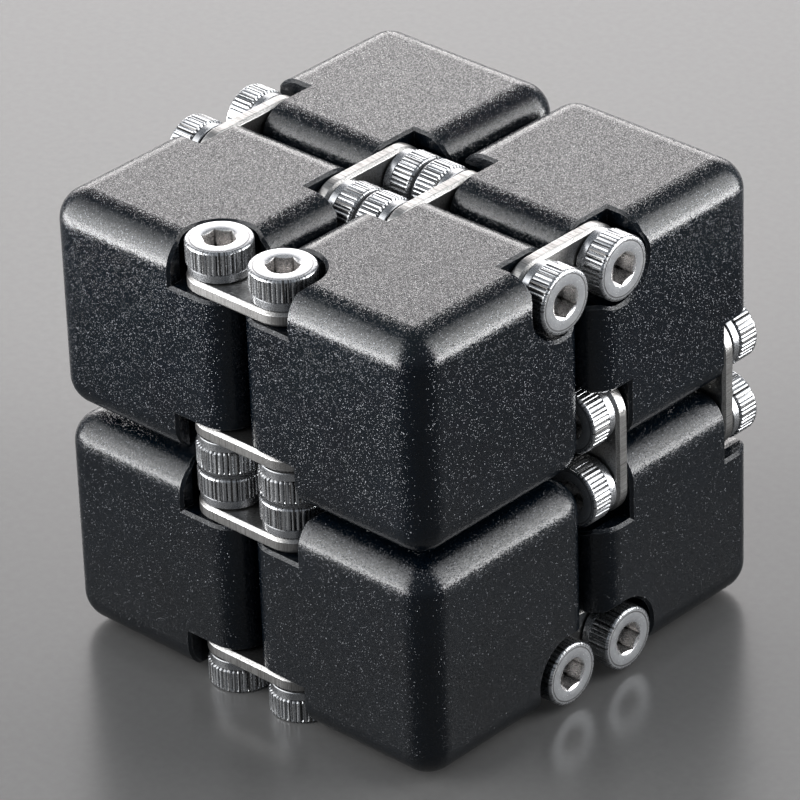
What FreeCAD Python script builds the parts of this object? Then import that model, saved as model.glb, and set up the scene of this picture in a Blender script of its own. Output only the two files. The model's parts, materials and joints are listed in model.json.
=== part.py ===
"""Folding metal fidget cube: eight blocks in a closed ring, joined by eight double-pivot hinges.

Axes: +X right, +Y rear, +Z up. The origin is at the middle of the footprint, at the height
of the lowest screw heads. Every length is in millimetres.
"""

import FreeCAD, Part
import math
import os

from FreeCAD import Matrix, Placement, Vector

# Blocks
BLOCK_SIDE = 20.0
BLOCK_GAP = 1.0  # between the faces of neighbouring blocks
BLOCK_ROUNDING = 2.75  # radius of all twelve edges

# Hinges: a screw axis lies this far from the two block faces that meet at the hinge edge
PIVOT_INSET = 3.0
POCKET_RADIUS = 3.4
POCKET_DEPTH = 4.0
CHANNEL_HALF_WIDTH = 2.95  # straight channels let the plate out of the pocket's two open sides
POCKET_RIM_CHAMFER = 0.25
TAPPED_HOLE_RADIUS = 1.5
TAPPED_HOLE_DEPTH = 9.5  # from the block's end face

# Link plates
PLATE_THICKNESS = 1.3
PLATE_WIDTH = 5.5
PLATE_HOLE_RADIUS = 1.56
PLATE_EDGE_CHAMFER = 0.25
PLATE_FLOOR_CLEARANCE = 0.05

# M3 knurled socket-head cap screws
HEAD_RADIUS = 2.8
HEAD_HEIGHT = 2.85
HEAD_PROUD = 0.3  # how far a head's face stands out of the block's end face
HEAD_CHAMFER = 0.25
BAND_RADIUS = 2.63  # plain band under the knurling
BAND_HEIGHT = 0.75
KNURL_RIBS = 40
KNURL_DEPTH = 0.14
SHANK_RADIUS = 1.49
SHANK_LENGTH = 6.0
SHANK_CHAMFER = 0.3
SOCKET_ACROSS_FLATS = 2.5
SOCKET_DEPTH = 1.6
SOCKET_DISH_RADIUS = 1.6
SOCKET_DISH_DEPTH = 0.2

# Worked out from the above
PLATE_PITCH = 2 * PIVOT_INSET + BLOCK_GAP
PLATE_BASE = PLATE_FLOOR_CLEARANCE - POCKET_DEPTH  # underside of a plate below the end face
HEAD_BASE = HEAD_PROUD - HEAD_HEIGHT  # underside of a head below the end face
BLOCK_OFFSET = (BLOCK_SIDE + BLOCK_GAP) / 2  # middle of the cube to a block's middle
PIVOT_OFFSET = BLOCK_SIDE / 2 - PIVOT_INSET  # a block's middle to its screw axes
CUBE_CENTRE = Vector(0, 0, BLOCK_SIDE + BLOCK_GAP / 2 + HEAD_PROUD)

TOUCHING = 1e-3  # a point nearer than this to a surface is on it

DIRECTIONS = {
    "left": Vector(-1, 0, 0),
    "right": Vector(1, 0, 0),
    "front": Vector(0, -1, 0),
    "rear": Vector(0, 1, 0),
    "lower": Vector(0, 0, -1),
    "upper": Vector(0, 0, 1),
}

# Hinge name: the block on each side, the way its edge faces, and the two ends of its axis
HINGES = {
    "upper_front": ("front_left_upper", "front_right_upper", "front", ("lower", "upper")),
    "upper_right": ("front_right_upper", "rear_right_upper", "upper", ("left", "right")),
    "middle_right": ("rear_right_lower", "rear_right_upper", "right", ("front", "rear")),
    "lower_right": ("front_right_lower", "rear_right_lower", "lower", ("left", "right")),
    "lower_front": ("front_left_lower", "front_right_lower", "front", ("lower", "upper")),
    "lower_left": ("front_left_lower", "rear_left_lower", "lower", ("left", "right")),
    "middle_left": ("rear_left_lower", "rear_left_upper", "left", ("front", "rear")),
    "upper_left": ("front_left_upper", "rear_left_upper", "upper", ("left", "right")),
}
BLOCKS = sorted({block for hinge in HINGES.values() for block in hinge[:2]})


def block_centre(block):
    """Middle of a block, from the three direction words in its name."""
    offset = sum((DIRECTIONS[word] for word in block.split("_")), Vector())
    return CUBE_CENTRE + offset * BLOCK_OFFSET


def side_word(block, other):
    """The word that tells a block from its neighbour, such as left or upper."""
    return next(word for word in block.split("_") if word not in other.split("_"))


def frame_at(origin, along, outward_end):
    """Placement with local +X along the plate and local +Z out of the block's end face."""
    across = outward_end.cross(along)
    rows = []
    for axis in ("x", "y", "z"):
        rows += [getattr(vector, axis) for vector in (along, across, outward_end, origin)]
    return Placement(Matrix(*rows, 0, 0, 0, 1))


def hinge_ends(hinge):
    """Each end of a hinge: its name, the plate's frame, and each screw's block and frame."""
    first, second, outward, ends = HINGES[hinge]
    along = DIRECTIONS[side_word(second, first)]
    middle = (block_centre(first) + block_centre(second)) * 0.5
    middle += DIRECTIONS[outward] * PIVOT_OFFSET
    for end in ends:
        end_direction = DIRECTIONS[end]
        face = middle + end_direction * (BLOCK_SIDE / 2)
        screws = []
        for block, sign in ((first, -1), (second, 1)):
            pivot = face + along * (sign * PLATE_PITCH / 2)
            screws.append((block, frame_at(pivot, along, end_direction)))
        yield end, frame_at(face, along, end_direction), screws


def turned(profile):
    """Solid of revolution about Z from (radius, height) points."""
    points = [Vector(radius, 0, height) for radius, height in profile]
    outline = Part.makePolygon(points + points[:1])
    return Part.Face(outline).revolve(Vector(), Vector(0, 0, 1), 360)


def prism(points, up):
    """Closed polygon extruded along a vector."""
    return Part.Face(Part.makePolygon(points + points[:1])).extrude(up)


def ring_points(radii, height):
    """One point per radius, evenly spaced round Z."""
    step = 2 * math.pi / len(radii)
    return [
        Vector(radius * math.cos(i * step), radius * math.sin(i * step), height)
        for i, radius in enumerate(radii)
    ]


def make_screw():
    """Cap screw on the Z axis, with Z = 0 at the block's end face."""
    band_top = HEAD_BASE + BAND_HEIGHT
    turned_head = turned([
        (0, HEAD_BASE),
        (BAND_RADIUS, HEAD_BASE),
        (BAND_RADIUS, band_top),
        (HEAD_RADIUS, band_top + HEAD_RADIUS - BAND_RADIUS),
        (HEAD_RADIUS, HEAD_PROUD - HEAD_CHAMFER),
        (HEAD_RADIUS - HEAD_CHAMFER, HEAD_PROUD),
        (0, HEAD_PROUD),
    ])
    ribs = ring_points([HEAD_RADIUS, HEAD_RADIUS - KNURL_DEPTH] * KNURL_RIBS, HEAD_BASE)
    head = turned_head.common(prism(ribs, Vector(0, 0, HEAD_HEIGHT)))

    shank_end = HEAD_BASE - SHANK_LENGTH
    shank = turned([
        (0, shank_end),
        (SHANK_RADIUS - SHANK_CHAMFER, shank_end),
        (SHANK_RADIUS, shank_end + SHANK_CHAMFER),
        (SHANK_RADIUS, HEAD_BASE),
        (0, HEAD_BASE),
    ])

    corner_radius = SOCKET_ACROSS_FLATS / math.sqrt(3)
    hexagon = ring_points([corner_radius] * 6, HEAD_PROUD - SOCKET_DEPTH)
    socket = prism(hexagon, Vector(0, 0, SOCKET_DEPTH))
    dish_bottom = HEAD_PROUD - SOCKET_DISH_DEPTH
    dish = turned([
        (0, dish_bottom),
        (SOCKET_ACROSS_FLATS / 2, dish_bottom),
        (SOCKET_DISH_RADIUS, HEAD_PROUD),
        (0, HEAD_PROUD),
    ])
    return head.fuse(shank).cut(socket.fuse(dish)).removeSplitter()


def make_plate():
    """Link plate with its length along X, with Z = 0 at the blocks' end faces."""
    half_pitch = PLATE_PITCH / 2
    radius = PLATE_WIDTH / 2
    corners = [
        Vector(half_pitch, -radius, PLATE_BASE),
        Vector(half_pitch, radius, PLATE_BASE),
        Vector(-half_pitch, radius, PLATE_BASE),
        Vector(-half_pitch, -radius, PLATE_BASE),
    ]
    right_tip = Vector(half_pitch + radius, 0, PLATE_BASE)
    left_tip = Vector(-half_pitch - radius, 0, PLATE_BASE)
    outline = Part.Wire([
        Part.Arc(corners[0], right_tip, corners[1]).toShape(),
        Part.LineSegment(corners[1], corners[2]).toShape(),
        Part.Arc(corners[2], left_tip, corners[3]).toShape(),
        Part.LineSegment(corners[3], corners[0]).toShape(),
    ])
    plate = Part.Face(outline).extrude(Vector(0, 0, PLATE_THICKNESS))
    level_edges = [edge for edge in plate.Edges if edge.BoundBox.ZLength < 1e-6]
    plate = plate.makeChamfer(PLATE_EDGE_CHAMFER, level_edges)
    for x in (-half_pitch, half_pitch):
        hole = Part.makeCylinder(PLATE_HOLE_RADIUS, PLATE_THICKNESS, Vector(x, 0, PLATE_BASE))
        plate = plate.cut(hole)
    return plate


def make_pocket(pivot, open_sides):
    """Round pocket at a pivot frame, with a straight channel towards each open side."""
    up = pivot.Rotation.multVec(Vector(0, 0, POCKET_DEPTH + BLOCK_GAP))
    floor = pivot.multVec(Vector(0, 0, -POCKET_DEPTH))
    pocket = Part.makeCylinder(POCKET_RADIUS, up.Length, floor, up)
    for side in open_sides:
        reach = side * (PIVOT_INSET + BLOCK_GAP)
        across = side.cross(up).normalize() * CHANNEL_HALF_WIDTH
        corners = [floor - across, floor + across, floor + across + reach, floor - across + reach]
        pocket = pocket.fuse(prism(corners, up))
    return pocket.removeSplitter()


def is_on_block_surface(point, centre):
    """True on the outer surface of a rounded block, pockets left aside."""
    flat_half = BLOCK_SIDE / 2 - BLOCK_ROUNDING
    beyond = [max(abs(value) - flat_half, 0) for value in point - centre]
    return abs(math.hypot(*beyond) - BLOCK_ROUNDING) < TOUCHING


def pocket_rims(block, centre, pockets):
    """Edges where a pocket breaks the outer surface of the block."""
    rims = []
    for edge in block.Edges:
        middle = edge.valueAt((edge.FirstParameter + edge.LastParameter) / 2)
        if is_on_block_surface(middle, centre):
            vertex = Part.Vertex(middle)
            if any(pocket.distToShape(vertex)[0] < TOUCHING for pocket in pockets):
                rims.append(edge)
    return rims


def make_block(centre, pivots):
    """Rounded block with a pocket and a tapped hole at each (pivot frame, open sides) pair."""
    half = Vector(1, 1, 1) * (BLOCK_SIDE / 2)
    block = Part.makeBox(BLOCK_SIDE, BLOCK_SIDE, BLOCK_SIDE, centre - half)
    block = block.makeFillet(BLOCK_ROUNDING, block.Edges)
    pockets = [make_pocket(pivot, open_sides) for pivot, open_sides in pivots]
    block = block.cut(pockets)
    block = block.makeChamfer(POCKET_RIM_CHAMFER, pocket_rims(block, centre, pockets))
    for pivot, _ in pivots:
        inwards = pivot.Rotation.multVec(Vector(0, 0, -1))
        hole = Part.makeCylinder(TAPPED_HOLE_RADIUS, TAPPED_HOLE_DEPTH, pivot.Base, inwards)
        block = block.cut(hole)
    return block


def export(shape, node):
    """Write one node, after checking that it is one closed solid."""
    if not shape.isValid() or len(shape.Solids) != 1:
        raise RuntimeError(f"{node} is not one valid solid")
    shape.Solids[0].exportStep(f"parts/{node}.step")


def main():
    os.makedirs("parts", exist_ok=True)
    plate, screw = make_plate(), make_screw()
    pivots = {block: [] for block in BLOCKS}
    for hinge, (first, second, outward, _) in HINGES.items():
        for end, plate_frame, screws in hinge_ends(hinge):
            export(plate.transformed(plate_frame.toMatrix()), f"plate_{hinge}_{end}")
            for block, frame in screws:
                other = second if block == first else first
                word = side_word(block, other)
                export(screw.transformed(frame.toMatrix()), f"screw_{hinge}_{end}_{word}")
                open_sides = (DIRECTIONS[outward], -DIRECTIONS[word])
                pivots[block].append((frame, open_sides))
    for block in BLOCKS:
        export(make_block(block_centre(block), pivots[block]), f"block_{block}")


main()
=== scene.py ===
"""Folding metal fidget cube: materials, knurled screws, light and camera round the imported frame.

Every length is in metres unless its name says otherwise, in the frame of the CAD model.
"""

import json
import math
import random

import bmesh
import bpy
from mathutils import Matrix, Vector


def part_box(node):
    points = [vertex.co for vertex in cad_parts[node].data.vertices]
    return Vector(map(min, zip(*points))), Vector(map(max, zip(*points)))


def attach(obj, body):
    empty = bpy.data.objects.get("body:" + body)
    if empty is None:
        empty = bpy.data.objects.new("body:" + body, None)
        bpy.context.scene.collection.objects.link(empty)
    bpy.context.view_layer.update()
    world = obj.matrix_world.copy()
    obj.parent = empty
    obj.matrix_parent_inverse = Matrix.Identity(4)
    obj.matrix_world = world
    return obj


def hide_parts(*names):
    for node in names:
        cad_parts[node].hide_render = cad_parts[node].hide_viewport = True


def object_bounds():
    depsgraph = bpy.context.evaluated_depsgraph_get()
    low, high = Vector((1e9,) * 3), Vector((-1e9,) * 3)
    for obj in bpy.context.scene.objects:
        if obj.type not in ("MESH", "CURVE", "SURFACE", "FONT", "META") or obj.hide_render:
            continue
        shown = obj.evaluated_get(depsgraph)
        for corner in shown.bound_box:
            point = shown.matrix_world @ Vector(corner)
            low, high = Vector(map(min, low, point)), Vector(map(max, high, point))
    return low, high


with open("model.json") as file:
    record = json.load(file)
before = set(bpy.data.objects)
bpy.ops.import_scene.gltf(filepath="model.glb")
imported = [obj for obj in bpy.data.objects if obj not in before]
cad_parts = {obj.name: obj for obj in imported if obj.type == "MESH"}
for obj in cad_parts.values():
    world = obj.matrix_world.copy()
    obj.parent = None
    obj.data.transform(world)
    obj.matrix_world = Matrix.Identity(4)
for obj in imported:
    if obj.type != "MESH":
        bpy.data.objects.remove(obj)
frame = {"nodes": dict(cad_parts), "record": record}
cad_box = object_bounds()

MM = 0.001

# Camera: the photograph's viewing angle and the point it aims at
VIEW_AZIMUTH = math.radians(43.77)
VIEW_ELEVATION = math.radians(30.44)
VIEW_ROLL = math.radians(-2.05)
VIEW_DISTANCE = 468 * MM
AIM_POINT = Vector((-0.28, -0.76, 20.19)) * MM
LENS_MM = 254.0
SENSOR_MM = 36.0

# Screws: the head, its plain band and the socket have the sizes of the CAD node; the knurling
# and the dish round the socket differ a little, and the drilled tip and the thread are extra
HEAD_RADIUS = 2.8 * MM
HEAD_HEIGHT = 2.85 * MM
HEAD_CHAMFER = 0.25 * MM
BAND_RADIUS = 2.63 * MM
BAND_HEIGHT = 0.75 * MM
SOCKET_HALF_FLATS = 1.25 * MM
SOCKET_DEPTH = 1.6 * MM
SOCKET_TIP_DEPTH = 1.75 * MM
# Width of the painted shade in the socket's corners
CORNER_SHADE_WIDTH = math.radians(7)
DISH_RADIUS = 1.52 * MM
DISH_DEPTH = 0.12 * MM
KNURL_RIBS = 40
KNURL_DEPTH = 0.17 * MM
POINTS_PER_RIB = 6
THREAD_RADIUS = 1.49 * MM
THREAD_DEPTH = 0.26 * MM
THREAD_PITCH = 0.5 * MM
THREAD_STEPS = 6  # rings per turn of the thread
THREAD_TIP_CHAMFER = 0.4 * MM
POINTS_ROUND_SHANK = 40
BROKEN_EDGE = 0.06 * MM  # size of the small bevels at the head's corners
SOCKET_RIM = 0.03 * MM  # bevel round the mouth of the socket
RUN_IN_HEIGHT = (HEAD_RADIUS - BAND_RADIUS) * 0.9  # from the plain band up to the knurling
SMOOTH_ANGLE = math.radians(32)  # edges sharper than this stay sharp
SCREW_SPINS = (0, 9, 21, 30, 40, 52)  # degrees that the sockets are turned by
SPIN_SEED = 31

# Where the looks of a screw's face change, as distances from its axis
FACE_RADIUS = 2.5 * MM
FACE_LINE_RADIUS = 2.4 * MM  # a dark turned line near the edge of the face
PAINTED_SOCKET_LIGHT_RANGE = (1.46 * MM, 1.52 * MM)  # painted light: from the dish inwards the steel is painted brighter

# Blocks and plates
FLAKE_SIZE = 0.045 * MM
EDGE_WEAR_RADIUS = 0.12 * MM
SCRATCH_TURN = (0.0, math.radians(35.26), math.radians(-45))  # slantwise to all three axes
MARK_SQUEEZE = 0.04  # noise scale along a mark, so marks are 25 times as long as wide

# Light and floor
GRID_SPREAD = math.radians(90)
WHITE = (1.0, 1.0, 1.0)
WARM_WHITE = (1.0, 0.965, 0.955)
LIGHT_BEHIND_AZIMUTH = math.radians(224)
LIGHT_BEHIND_ELEVATION = math.radians(23.5)
LIGHT_BEHIND_SIZE = (1.2, 0.54)
LIGHT_BEHIND_RADIANCE = 1.68
SIDE_LIGHT_DISTANCE = 150 * MM
SIDE_LIGHT_AIM = Vector((0, 0, 95 * MM))
# Name, height and share of the radiance of each strip, from the bottom up
SIDE_LIGHT_STRIPS = (("low", 50 * MM, 1.0), ("middle", 75 * MM, 0.45), ("high", 90 * MM, 0.15))
SURROUND_COLOUR = (0.88, 0.96, 1.06, 1)
SURROUND_STRENGTH = 0.27
FLOOR_HALF_WIDTH = 4.0
CAMERA_CLIP_START = 0.01

DIRECTIONS = {
    "left": Vector((-1, 0, 0)),
    "right": Vector((1, 0, 0)),
    "front": Vector((0, -1, 0)),
    "rear": Vector((0, 1, 0)),
    "lower": Vector((0, 0, -1)),
    "upper": Vector((0, 0, 1)),
}
BODIES = frame["record"]["behaviour"]["bodies"]
BODY_OF_NODE = {node: body for body, nodes in BODIES.items() for node in nodes}


# Node helpers

def new_material(name):
    """An empty procedural material: the material, its node tree and its shader."""
    material = bpy.data.materials.new(name)
    material.use_nodes = True
    tree = material.node_tree
    return material, tree, tree.nodes["Principled BSDF"]


def add_node(tree, kind, inputs=(), **settings):
    """A node with its settings, and inputs given as (socket, value or output socket)."""
    node = tree.nodes.new(kind)
    for name, value in settings.items():
        setattr(node, name, value)
    for socket, value in inputs:
        if isinstance(value, bpy.types.NodeSocket):
            tree.links.new(value, node.inputs[socket])
        else:
            node.inputs[socket].default_value = value
    return node


def ramp(tree, factor, low, high, low_colour, high_colour):
    """Colour that goes from low_colour to high_colour as factor goes from low to high."""
    node = add_node(tree, "ShaderNodeValToRGB", [("Fac", factor)])
    ends = node.color_ramp.elements
    for end, position, colour in ((ends[0], low, low_colour), (ends[1], high, high_colour)):
        end.position = position
        end.color = (*colour, 1)
    return node.outputs["Color"]


def remap(tree, value, from_min, from_max, to_min, to_max):
    """A number taken from one range to another, and held inside it."""
    inputs = [("Value", value), ("From Min", from_min), ("From Max", from_max)]
    inputs += [("To Min", to_min), ("To Max", to_max)]
    return add_node(tree, "ShaderNodeMapRange", inputs, clamp=True).outputs["Result"]


def calculate(tree, operation, first, second=0.0):
    """One sum on two numbers."""
    node = add_node(tree, "ShaderNodeMath", [(0, first), (1, second)], operation=operation)
    return node.outputs["Value"]


def mix_colours(tree, factor, first, second):
    """Blend of two colours."""
    inputs = [("Factor", factor), (6, first), (7, second)]
    return add_node(tree, "ShaderNodeMix", inputs, data_type="RGBA").outputs[2]


def noise(tree, vector, size, detail=2.0, roughness=0.5):
    """Noise whose blotches are about that size."""
    inputs = [("Vector", vector), ("Scale", 1 / size), ("Detail", detail)]
    inputs.append(("Roughness", roughness))
    return add_node(tree, "ShaderNodeTexNoise", inputs).outputs["Fac"]


def noise_along(tree, distance, size):
    """Noise that changes along one measure only."""
    inputs = [("W", distance), ("Scale", 1 / size), ("Detail", 2.0)]
    return add_node(tree, "ShaderNodeTexNoise", inputs, noise_dimensions="1D").outputs["Fac"]


def bump(tree, height, distance, strength=1.0, normal=None):
    """Normal tilted by a height map."""
    inputs = [("Height", height), ("Distance", distance), ("Strength", strength)]
    if normal is not None:
        inputs.append(("Normal", normal))
    return add_node(tree, "ShaderNodeBump", inputs).outputs["Normal"]


def edge_wear(tree, radius, low, high):
    """A mask that is 1 on sharp edges and 0 on flat and gently rounded faces."""
    rounded = add_node(tree, "ShaderNodeBevel", [("Radius", radius)], samples=4)
    true_normal = add_node(tree, "ShaderNodeNewGeometry").outputs["Normal"]
    inputs = [(0, rounded.outputs["Normal"]), (1, true_normal)]
    agree = add_node(tree, "ShaderNodeVectorMath", inputs, operation="DOT_PRODUCT")
    return remap(tree, agree.outputs["Value"], low, high, 1.0, 0.0)


# Materials

def flakes(tree, place, size):
    """Random cells of that size: a random vector and an unrelated random number for each."""
    inputs = [("Vector", place), ("Scale", 1 / size)]
    cells = add_node(tree, "ShaderNodeTexVoronoi", inputs)
    inputs = [("Vector", cells.outputs["Position"])]
    dice = add_node(tree, "ShaderNodeTexWhiteNoise", inputs, noise_dimensions="3D")
    return cells.outputs["Color"], dice.outputs["Value"]


def tilted(tree, normal, direction, amount):
    """A normal leaned towards a random direction, whose parts run from 0 to 1."""
    centred = add_node(tree, "ShaderNodeVectorMath", [(0, direction), (1, (0.5, 0.5, 0.5))],
                       operation="SUBTRACT")
    lean = add_node(tree, "ShaderNodeVectorMath", [(0, centred.outputs[0]), ("Scale", amount)],
                    operation="SCALE")
    leant = add_node(tree, "ShaderNodeVectorMath", [(0, normal), (1, lean.outputs[0])])
    return add_node(tree, "ShaderNodeVectorMath", [(0, leant.outputs[0])],
                    operation="NORMALIZE").outputs[0]


def anodised_aluminium():
    """Black anodised, bead-blasted aluminium: tiny facets that glint, and lightly worn rims."""
    material, tree, shader = new_material("anodised_aluminium")
    place = add_node(tree, "ShaderNodeTexCoord").outputs["Object"]
    clouds = noise(tree, place, 6 * MM, 3.0)
    grain = noise(tree, place, 0.2 * MM, 2.0, 0.6)
    facing, luck = flakes(tree, place, FLAKE_SIZE)

    worn = edge_wear(tree, EDGE_WEAR_RADIUS, 0.86, 0.98)
    scuffs = remap(tree, noise(tree, place, 0.5 * MM, 4.0), 0.4, 0.7, 0.0, 0.25)
    worn = calculate(tree, "MULTIPLY", worn, scuffs)
    dyed = ramp(tree, clouds, 0.3, 0.7, (0.0004, 0.0018, 0.0038), (0.001, 0.0032, 0.0062))
    glints = remap(tree, luck, 0.77, 0.78, 0.0, 1.0)
    bare = ramp(tree, luck, 0.78, 1.0, (0.024, 0.025, 0.027), (0.065, 0.067, 0.072))
    coloured = mix_colours(tree, glints, dyed, bare)
    coloured = mix_colours(tree, worn, coloured, (0.6, 0.6, 0.6, 1))
    tree.links.new(coloured, shader.inputs["Base Color"])
    tree.links.new(calculate(tree, "MAXIMUM", worn, glints), shader.inputs["Metallic"])
    tree.links.new(remap(tree, grain, 0.2, 0.8, 0.08, 0.18), shader.inputs["Roughness"])

    pitted = bump(tree, grain, 0.004 * MM)
    lean = remap(tree, calculate(tree, "POWER", luck, 1.8), 0.0, 1.0, 0.06, 0.66)
    lean = calculate(tree, "ADD", lean, calculate(tree, "MULTIPLY", glints, 0.3))
    tree.links.new(tilted(tree, pitted, facing, lean), shader.inputs["Normal"])
    shader.inputs["IOR"].default_value = 1.47
    return material


def hairlines_along(tree, vector, run, size):
    """Noise drawn out along one axis of the vector: run is small on that axis and 1 elsewhere."""
    drawn = add_node(tree, "ShaderNodeMapping", [("Vector", vector), ("Scale", run)])
    return noise(tree, drawn.outputs["Vector"], size, 3.0, 0.7)


def brushed_steel(thickness):
    """Bright stamped steel for plates of that thickness direction, 0 for X to 2 for Z: ground
    marks across the edges, slantwise scratches on the flat faces, and tumbled corners."""
    material, tree, shader = new_material("brushed_steel_" + "xyz"[thickness])
    place = add_node(tree, "ShaderNodeTexCoord").outputs["Object"]
    across = [MARK_SQUEEZE if axis == thickness else 1.0 for axis in range(3)]
    ground = hairlines_along(tree, place, across, 0.10 * MM)
    inputs = [("Vector", place), ("Rotation", SCRATCH_TURN)]
    laid = add_node(tree, "ShaderNodeMapping", inputs).outputs["Vector"]
    scratches = hairlines_along(tree, laid, (MARK_SQUEEZE, 1.0, 1.0), 0.12 * MM)

    facing = add_node(tree, "ShaderNodeNewGeometry").outputs["True Normal"]
    parts = add_node(tree, "ShaderNodeSeparateXYZ", [("Vector", facing)])
    squarely = calculate(tree, "ABSOLUTE", parts.outputs[thickness])
    on_face = calculate(tree, "GREATER_THAN", squarely, 0.9)
    inputs = [("Factor", on_face), (2, ground), (3, scratches)]
    marks = add_node(tree, "ShaderNodeMix", inputs, data_type="FLOAT").outputs[0]
    stains = noise(tree, place, 2.5 * MM, 3.0)
    worn = edge_wear(tree, EDGE_WEAR_RADIUS, 0.86, 0.99)

    steel = ramp(tree, stains, 0.3, 0.7, (0.40, 0.393, 0.383), (0.53, 0.523, 0.515))
    dark = remap(tree, marks, 0.30, 0.62, 0.85, 0.0)
    streaked = mix_colours(tree, dark, steel, (0.10, 0.095, 0.09, 1))
    rubbed = calculate(tree, "MULTIPLY", worn, 0.7)
    bright = mix_colours(tree, rubbed, streaked, (0.85, 0.85, 0.85, 1))
    tree.links.new(bright, shader.inputs["Base Color"])
    tree.links.new(remap(tree, marks, 0.25, 0.75, 0.45, 0.24), shader.inputs["Roughness"])
    tumbled = add_node(tree, "ShaderNodeBevel", [("Radius", EDGE_WEAR_RADIUS)], samples=6)
    marked = bump(tree, marks, 0.015 * MM, 1.0, tumbled.outputs["Normal"])
    tree.links.new(marked, shader.inputs["Normal"])
    shader.inputs["Metallic"].default_value = 1.0
    return material


def turned_steel():
    """Stainless screw steel: turned rings on the face, streaks down the rim, painted shade in the
    grooves and recesses, and painted light in the socket.
    """
    material, tree, shader = new_material("turned_steel")
    place = add_node(tree, "ShaderNodeTexCoord").outputs["Object"]
    parts = add_node(tree, "ShaderNodeSeparateXYZ", [("Vector", place)]).outputs
    flat = add_node(tree, "ShaderNodeCombineXYZ", [("X", parts["X"]), ("Y", parts["Y"])])
    across = add_node(tree, "ShaderNodeVectorMath", [(0, flat.outputs[0])], operation="LENGTH")
    across = across.outputs["Value"]
    angle = calculate(tree, "ARCTAN2", parts["Y"], parts["X"])
    at_rim = remap(tree, across, FACE_RADIUS, FACE_RADIUS + 0.1 * MM, 0.0, 1.0)
    # Painted light: from the dish inwards the steel is painted brighter, as if more light reached
    # into the socket
    inside = remap(tree, across, *PAINTED_SOCKET_LIGHT_RANGE, 1.0, 0.0)

    rings = noise_along(tree, across, 0.06 * MM)
    streaks = noise_along(tree, angle, 0.07)
    blotches = noise(tree, place, 0.8 * MM, 4.0)
    fine = noise(tree, place, 0.12 * MM, 3.0)
    # Painted shade: the mesh's per-point value is darker in the knurling's grooves, the socket's
    # corners and bottom, the thread's roots and round the plain band; blotches make it patchy
    painted_shade = add_node(tree, "ShaderNodeAttribute", attribute_name="painted_shade").outputs["Fac"]
    patchy = calculate(tree, "MULTIPLY", painted_shade, remap(tree, blotches, 0.3, 0.6, 0.75, 1.0))
    band_top = BAND_HEIGHT - HEAD_HEIGHT
    knurled = remap(tree, parts["Z"], band_top, band_top + 0.1 * MM, 0.0, 1.0)
    knurled = calculate(tree, "MULTIPLY", knurled, at_rim)
    streaky = calculate(tree, "MULTIPLY", knurled, remap(tree, streaks, 0.36, 0.5, 0.88, 0.0))
    from_line = calculate(tree, "SUBTRACT", across, FACE_LINE_RADIUS)
    from_line = calculate(tree, "ABSOLUTE", from_line)
    line = remap(tree, from_line, 0.03 * MM, 0.09 * MM, 0.7, 0.0)
    # Painted shade, joined with the dark turned line and the dark streaks down the knurling
    shade_and_dark_marks = calculate(tree, "MAXIMUM", calculate(tree, "MAXIMUM", patchy, line), streaky)

    light = ramp(tree, blotches, 0.3, 0.7, (0.47, 0.48, 0.50), (0.63, 0.64, 0.65))
    ringed = remap(tree, rings, 0.35, 0.6, 0.40, 0.0)
    steel = mix_colours(tree, ringed, light, (0.28, 0.29, 0.31, 1))
    # Painted light: the socket's steel is painted brighter
    steel = mix_colours(tree, inside, steel, (0.88, 0.86, 0.85, 1))
    # Darkens the steel with the painted shade and the dark marks
    shaded_and_marked = mix_colours(tree, shade_and_dark_marks, steel, (0.04, 0.035, 0.03, 1))
    tree.links.new(shaded_and_marked, shader.inputs["Base Color"])
    polish = remap(tree, fine, 0.3, 0.7, 0.12, 0.28)
    rougher = calculate(tree, "MULTIPLY", calculate(tree, "ADD", at_rim, inside), 0.08)
    tree.links.new(calculate(tree, "ADD", polish, rougher), shader.inputs["Roughness"])
    turned = bump(tree, rings, 0.004 * MM)
    tree.links.new(bump(tree, fine, 0.001 * MM, 1.0, turned), shader.inputs["Normal"])
    clean = remap(tree, calculate(tree, "ADD", at_rim, inside), 0.0, 1.0, 0.70, 0.95)
    tree.links.new(clean, shader.inputs["Metallic"])
    return material


# Screws

def groove_at(index):
    """How deep the knurling is at a point round the head, from 0 on a rib to 1 in a groove."""
    rib, step = divmod(index, POINTS_PER_RIB)
    worn = 0.72 + 0.28 * math.sin(2.4 * rib)  # some grooves are shallower than others
    return worn * (1 - math.sin(math.pi * step / POINTS_PER_RIB) ** 0.5)


def head_ring(mesh, layer, radius_at, height_at, painted_shade_at):
    """One ring of points round the head; each value comes from a function of the index."""
    count = KNURL_RIBS * POINTS_PER_RIB
    ring = []
    for index in range(count):
        angle = 2 * math.pi * index / count
        radius = radius_at(index)
        point = (radius * math.cos(angle), radius * math.sin(angle), height_at(index))
        vertex = mesh.verts.new(point)
        vertex[layer] = painted_shade_at(index)
        ring.append(vertex)
    return ring


def join_rings(mesh, lower, upper):
    """Quads between two rings with the same number of points."""
    count = len(lower)
    for index in range(count):
        after = (index + 1) % count
        mesh.faces.new((lower[index], lower[after], upper[after], upper[index]))


def hexagon_angle(index):
    """Angle from the middle of the nearest flat of the socket, up to 30 degrees either way."""
    sixth = KNURL_RIBS * POINTS_PER_RIB // 6
    return (index % sixth - sixth / 2) * 2 * math.pi / (6 * sixth)


def hexagon_radius(index):
    """Distance from the axis to the socket's wall at a point round the head."""
    return SOCKET_HALF_FLATS / math.cos(hexagon_angle(index))


def corner_painted_shade(index):
    """How much painted shade the socket's corners get: 1 in a corner and 0 on the flats."""
    from_corner = math.radians(30) - abs(hexagon_angle(index))
    return max(0.0, 1 - from_corner / CORNER_SHADE_WIDTH)


def dish_height(radius):
    """Height of the conical dish round the socket, with 0 at the head's face."""
    return -DISH_DEPTH * (DISH_RADIUS - radius) / (DISH_RADIUS - SOCKET_HALF_FLATS)


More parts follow.
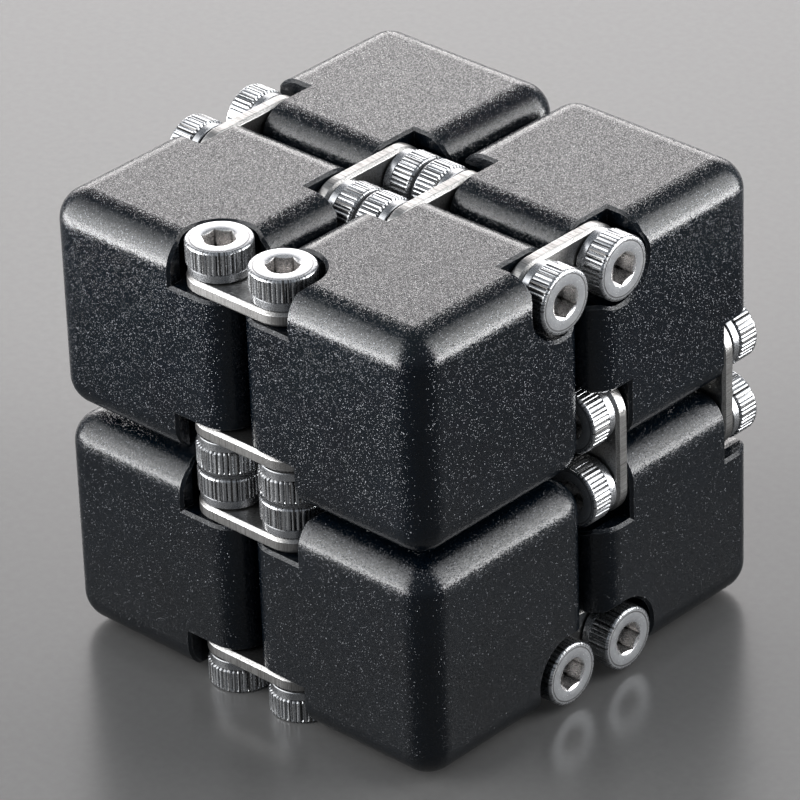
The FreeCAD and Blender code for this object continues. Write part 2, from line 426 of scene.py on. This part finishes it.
def rim_height(index):
    """Height of the socket's mouth at a point round the head; it rises towards the corners."""
    return dish_height(hexagon_radius(index) + SOCKET_RIM)


def constant(value):
    """A function of the index that is the same all the way round."""
    return lambda index: value


def plain_rings(mesh, layer, rows):
    """Round rings from (radius, height, grime) rows."""
    return [head_ring(mesh, layer, *(constant(value) for value in row)) for row in rows]


def knurled_ring(mesh, layer, height, depth, shrink):
    """A ring of the knurling: depth is 1 where the grooves are full and 0 where there are none,
    and shrink is how far its ribs stay inside the head's radius."""
    def radius_at(index):
        return HEAD_RADIUS - shrink - KNURL_DEPTH * depth * groove_at(index)

    # Painted shade, darkest at the bottom of the grooves
    def painted_shade_at(index):
        return depth * groove_at(index) ** 2

    return head_ring(mesh, layer, radius_at, constant(height), painted_shade_at)


def socket_ring(mesh, layer, wider, height_at, painted_shade):
    """A hexagonal ring of the socket, wider than its walls by that much, with more painted shade in
    its corners.
    """
    def radius_at(index):
        return hexagon_radius(index) + wider

    def painted_shade_at(index):
        return painted_shade + 0.7 * corner_painted_shade(index)

    return head_ring(mesh, layer, radius_at, height_at, painted_shade_at)


def build_head(mesh, layer):
    """The head from its underside to the bottom of the socket, and its underside's ring."""
    bottom = -HEAD_HEIGHT
    band_top = bottom + BAND_HEIGHT
    knurl_top = -HEAD_CHAMFER
    # The third number of each row is painted shade: at the head's underside and most under the
    # knurling's overhang
    rings = plain_rings(mesh, layer, [
        (BAND_RADIUS - BROKEN_EDGE, bottom, 0.5),
        (BAND_RADIUS, bottom + BROKEN_EDGE, 0.2),
        (BAND_RADIUS, band_top - BROKEN_EDGE, 0.1),
        (BAND_RADIUS - BROKEN_EDGE, band_top, 1.0),
    ])
    knurl_rows = [
        (band_top + RUN_IN_HEIGHT * 0.5, 1.0, 0.10 * MM),
        (band_top + RUN_IN_HEIGHT, 1.0, 0.0),
        (knurl_top - BROKEN_EDGE, 1.0, 0.0),
        (knurl_top + BROKEN_EDGE, 0.1, 0.0),
        (-HEAD_CHAMFER * 0.4, 0.0, 0.03 * MM),
    ]
    rings += [knurled_ring(mesh, layer, *row) for row in knurl_rows]
    dish_lip = DISH_RADIUS - BROKEN_EDGE * 0.5
    rings += plain_rings(mesh, layer, [
        (HEAD_RADIUS - HEAD_CHAMFER * 0.45, -HEAD_CHAMFER * 0.1, 0.0),
        (HEAD_RADIUS - HEAD_CHAMFER * 0.8, 0.0, 0.0),
        (DISH_RADIUS + BROKEN_EDGE * 0.5, 0.0, 0.0),
        (dish_lip, dish_height(dish_lip), 0.0),
    ])
    # The last number of each row is painted shade, darker deeper in the socket
    socket_rows = [
        (SOCKET_RIM, rim_height, 0.0),
        (0.0, lambda index: rim_height(index) - SOCKET_RIM, 0.05),
        (0.0, constant(-SOCKET_DEPTH * 0.6), 0.2),
        (0.0, constant(-SOCKET_DEPTH), 0.7),
    ]
    rings += [socket_ring(mesh, layer, *row) for row in socket_rows]
    for lower, upper in zip(rings, rings[1:]):
        join_rings(mesh, lower, upper)
    tip = mesh.verts.new((0, 0, -SOCKET_TIP_DEPTH))
    # Painted shade at the bottom of the socket
    tip[layer] = 0.4
    last = rings[-1]
    for index, vertex in enumerate(last):
        mesh.faces.new((vertex, last[(index + 1) % len(last)], tip))
    return rings[0]


def thread_radius(turn, depth_below_head, length):
    """Radius of the threaded shank: turn is the angle as a part of a full turn."""
    phase = (depth_below_head / THREAD_PITCH + turn) % 1
    crest = 1 - min(abs(2 * phase - 1) * 1.3, 1)  # 1 on a crest, 0 across the flat root
    radius = THREAD_RADIUS - THREAD_DEPTH * (1 - crest)
    end = max(THREAD_TIP_CHAMFER - (length - depth_below_head), 0)
    return min(radius, THREAD_RADIUS - end)


def build_shank(mesh, layer, collar, length):
    """The threaded shank under the head, closed at its tip."""
    steps = round(length / THREAD_PITCH * THREAD_STEPS)
    rings = []
    for step in range(steps + 1):
        below = length * step / steps
        ring = []
        for index in range(POINTS_ROUND_SHANK):
            turn = index / POINTS_ROUND_SHANK
            radius = thread_radius(turn, below, length)
            angle = 2 * math.pi * turn
            height = -HEAD_HEIGHT - below
            vertex = mesh.verts.new((radius * math.cos(angle), radius * math.sin(angle), height))
            # Painted shade, darkest in the thread's roots
            vertex[layer] = 0.6 * (THREAD_RADIUS - radius) / THREAD_DEPTH
            ring.append(vertex)
        rings.append(ring)
    for upper, lower in zip(rings, rings[1:]):
        join_rings(mesh, lower, upper)
    mesh.faces.new(reversed(rings[-1]))

    share = len(collar) // POINTS_ROUND_SHANK
    top = rings[0]
    for index in range(POINTS_ROUND_SHANK):
        after = (index + 1) % POINTS_ROUND_SHANK
        outer = [collar[(index * share + step) % len(collar)] for step in range(share + 1)]
        mesh.faces.new([top[index], top[after]] + outer[::-1])


def screw_mesh(length, spin):
    """Knurled socket-head screw on the Z axis, with its face at Z = 0 and the shank below; it is
    turned by spin inside its own mesh."""
    mesh = bmesh.new()
    layer = mesh.verts.layers.float.new("painted_shade")
    collar = build_head(mesh, layer)
    build_shank(mesh, layer, collar, length)
    bmesh.ops.recalc_face_normals(mesh, faces=mesh.faces)
    bmesh.ops.rotate(mesh, verts=mesh.verts, matrix=Matrix.Rotation(spin, 3, "Z"))
    data = bpy.data.meshes.new("knurled_screw")
    mesh.to_mesh(data)
    mesh.free()
    data.shade_smooth()
    data.set_sharp_from_angle(angle=SMOOTH_ANGLE)
    return data


def place_screw(node, data):
    """A Blender screw where the CAD screw is."""
    low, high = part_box(node)
    outwards = DIRECTIONS[node.split("_")[3]]
    middle = (low + high) / 2
    reach = Vector(abs(value) for value in outwards).dot(high - low) / 2
    piece = bpy.data.objects.new(node + "_knurled", data)
    bpy.context.scene.collection.objects.link(piece)
    turn = outwards.to_track_quat("Z", "Y").to_matrix().to_4x4()
    piece.matrix_world = Matrix.Translation(middle + outwards * reach) @ turn
    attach(piece, BODY_OF_NODE[node])
    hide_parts(node)


def add_screws(material):
    """All the screws, each with its socket turned a different way."""
    nodes = sorted(node for node in frame["nodes"] if node.startswith("screw_"))
    low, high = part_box(nodes[0])
    length = max(high - low) - HEAD_HEIGHT
    meshes = [screw_mesh(length, math.radians(spin)) for spin in SCREW_SPINS]
    for data in meshes:
        data.materials.append(material)
    chance = random.Random(SPIN_SEED)
    for node in nodes:
        place_screw(node, chance.choice(meshes))


def paint_cad_nodes(start, end, material):
    """Gives a material to every CAD node whose name has that start and that end."""
    for name, node in frame["nodes"].items():
        if name.startswith(start) and name.endswith(end):
            node.data.materials.clear()
            node.data.materials.append(material)


# Stage

def add_floor():
    """A wide pale floor under the cube."""
    material, tree, shader = new_material("pale_floor")
    place = add_node(tree, "ShaderNodeTexCoord").outputs["Object"]
    tone = noise(tree, place, 0.8 * MM, 4.0)
    pale = ramp(tree, tone, 0.3, 0.7, (0.150, 0.148, 0.145), (0.162, 0.160, 0.157))
    tree.links.new(pale, shader.inputs["Base Color"])
    shader.inputs["Roughness"].default_value = 0.25
    data = bpy.data.meshes.new("floor")
    half = FLOOR_HALF_WIDTH
    corners = [(-half, -half, 0), (half, -half, 0), (half, half, 0), (-half, half, 0)]
    data.from_pydata(corners, [], [(0, 1, 2, 3)])
    data.materials.append(material)
    floor = bpy.data.objects.new("floor", data)
    floor.location.z = cad_box[0].z
    bpy.context.scene.collection.objects.link(floor)


def direction_to(azimuth, elevation):
    """Unit vector towards that side: azimuth 0 is the front, 90 degrees the right."""
    level = math.cos(elevation)
    return Vector((math.sin(azimuth) * level, -math.cos(azimuth) * level, math.sin(elevation)))


def add_softbox(name, place, aim, size, radiance, colour):
    """A rectangular area light with a grid on its front, which narrows its spread."""
    light = bpy.data.lights.new(name, "AREA")
    light.shape = "RECTANGLE"
    light.size, light.size_y = size
    light.spread = GRID_SPREAD
    light.color = colour
    light.energy = radiance * math.pi * size[0] * size[1]
    softbox = bpy.data.objects.new(name, light)
    bpy.context.scene.collection.objects.link(softbox)
    turn = (place - aim).to_track_quat("Z", "Y").to_matrix().to_4x4()
    softbox.matrix_world = Matrix.Translation(place) @ turn


def add_side_lights(side, azimuth, bottom, width, radiance):
    """Three gridded softboxes, one above the other, brightest at the bottom; they point over
    the cube, so that their edge falls on it and the floor stays even."""
    for strip, height, share in SIDE_LIGHT_STRIPS:
        name = f"light_{side}_{strip}"
        place = direction_to(math.radians(azimuth), 0.0) * SIDE_LIGHT_DISTANCE
        place.z = bottom + height / 2
        add_softbox(name, place, SIDE_LIGHT_AIM, (width, height), radiance * share, WHITE)
        bottom += height


def add_lights():
    """Soft studio light: a large light behind, a stack on each side, and a dim surround."""
    behind = direction_to(LIGHT_BEHIND_AZIMUTH, LIGHT_BEHIND_ELEVATION)
    level = Vector((0, 0, behind.z))
    radiance = LIGHT_BEHIND_RADIANCE
    add_softbox("light_behind", behind, level, LIGHT_BEHIND_SIZE, radiance, WARM_WHITE)
    add_side_lights("left", azimuth=-40, bottom=4 * MM, width=240 * MM, radiance=6.0)
    add_side_lights("right", azimuth=130, bottom=10 * MM, width=130 * MM, radiance=5.5)
    world = bpy.data.worlds.new("surround")
    world.use_nodes = True
    background = world.node_tree.nodes["Background"]
    background.inputs["Color"].default_value = SURROUND_COLOUR
    background.inputs["Strength"].default_value = SURROUND_STRENGTH
    bpy.context.scene.world = world


def add_camera():
    """A long lens at the photograph's angle."""
    data = bpy.data.cameras.new("camera")
    data.sensor_width = SENSOR_MM
    data.lens = LENS_MM
    data.clip_start = CAMERA_CLIP_START
    camera = bpy.data.objects.new("camera", data)
    bpy.context.scene.collection.objects.link(camera)
    outwards = direction_to(VIEW_AZIMUTH, VIEW_ELEVATION)
    turn = outwards.to_track_quat("Z", "Y").to_matrix().to_4x4()
    roll = Matrix.Rotation(VIEW_ROLL, 4, "Z")
    camera.matrix_world = Matrix.Translation(AIM_POINT + outwards * VIEW_DISTANCE) @ turn @ roll
    bpy.context.scene.camera = camera


def main():
    paint_cad_nodes("block_", "", anodised_aluminium())
    for thickness, ends in enumerate((("left", "right"), ("front", "rear"), ("lower", "upper"))):
        steel = brushed_steel(thickness)
        for end in ends:
            paint_cad_nodes("plate_", end, steel)
    add_screws(turned_steel())
    add_floor()
    add_lights()
    add_camera()
    bpy.context.scene.view_settings.view_transform = "Standard"


main()
